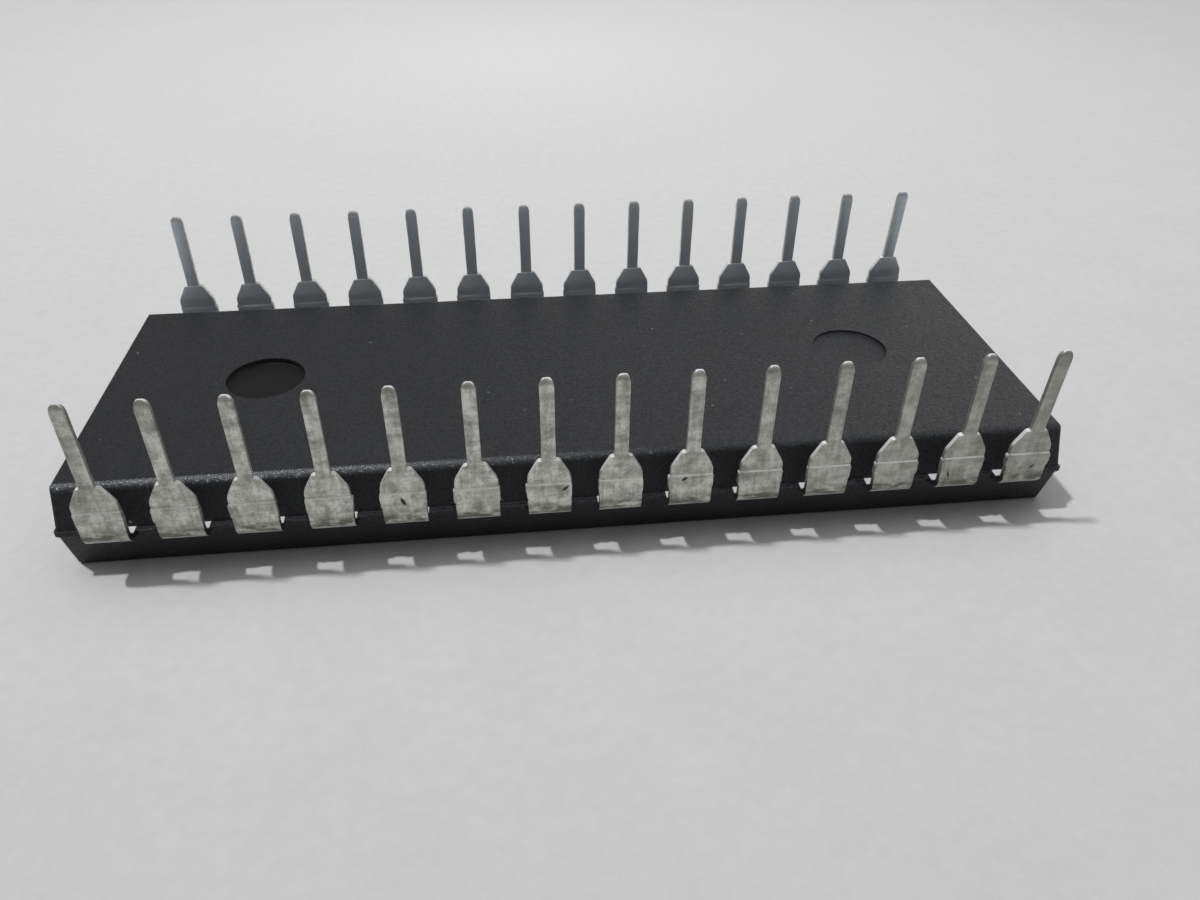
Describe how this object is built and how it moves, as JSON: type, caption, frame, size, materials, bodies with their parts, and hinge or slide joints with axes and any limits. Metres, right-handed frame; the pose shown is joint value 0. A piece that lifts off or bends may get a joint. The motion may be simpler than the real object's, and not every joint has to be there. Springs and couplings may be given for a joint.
{
  "type": "integrated circuit",
  "caption": "Wide dual-in-line plastic integrated circuit lying on its marked face with its two rows of leads up.",
  "frame": {"origin": "centre of the marked face, which is the face the part rests on", "axes": "+X along the rows of leads, away from the notched end; +Y across the body towards the row that starts at lead 1; +Z the way the leads point, away from the marked face"},
  "size_m": [0.0372, 0.0154, 0.0076],
  "materials": {
    "moulding_compound": "matte, fine grain",
    "lead_plating": "satin tin plating over an iron-nickel strip",
    "die_paddle": "satin, bare iron-nickel strip",
    "die_attach": "silver-filled adhesive",
    "silicon": "polished",
    "bond_wire": "drawn gold"
  },
  "bodies": {
    "root": {"mould_body": "moulding_compound", "lead_01": "lead_plating", "lead_02": "lead_plating", "lead_03": "lead_plating", "lead_04": "lead_plating", "lead_05": "lead_plating", "lead_06": "lead_plating", "lead_07": "lead_plating", "lead_08": "lead_plating", "lead_09": "lead_plating", "lead_10": "lead_plating", "lead_11": "lead_plating", "lead_12": "lead_plating", "lead_13": "lead_plating", "lead_14": "lead_plating", "lead_15": "lead_plating", "lead_16": "lead_plating", "lead_17": "lead_plating", "lead_18": "lead_plating", "lead_19": "lead_plating", "lead_20": "lead_plating", "lead_21": "lead_plating", "lead_22": "lead_plating", "lead_23": "lead_plating", "lead_24": "lead_plating", "lead_25": "lead_plating", "lead_26": "lead_plating", "lead_27": "lead_plating", "lead_28": "lead_plating", "die_paddle": "die_paddle", "die_attach": "die_attach", "silicon_die": "silicon", "bond_wire_01": "bond_wire", "bond_wire_02": "bond_wire", "bond_wire_03": "bond_wire", "bond_wire_04": "bond_wire", "bond_wire_05": "bond_wire", "bond_wire_06": "bond_wire", "bond_wire_07": "bond_wire", "bond_wire_08": "bond_wire", "bond_wire_09": "bond_wire", "bond_wire_10": "bond_wire", "bond_wire_11": "bond_wire", "bond_wire_12": "bond_wire", "bond_wire_13": "bond_wire", "bond_wire_14": "bond_wire", "bond_wire_15": "bond_wire", "bond_wire_16": "bond_wire", "bond_wire_17": "bond_wire", "bond_wire_18": "bond_wire", "bond_wire_19": "bond_wire", "bond_wire_20": "bond_wire", "bond_wire_21": "bond_wire", "bond_wire_22": "bond_wire", "bond_wire_23": "bond_wire", "bond_wire_24": "bond_wire", "bond_wire_25": "bond_wire", "bond_wire_26": "bond_wire", "bond_wire_27": "bond_wire", "bond_wire_28": "bond_wire"}
  },
  "joints": []
}
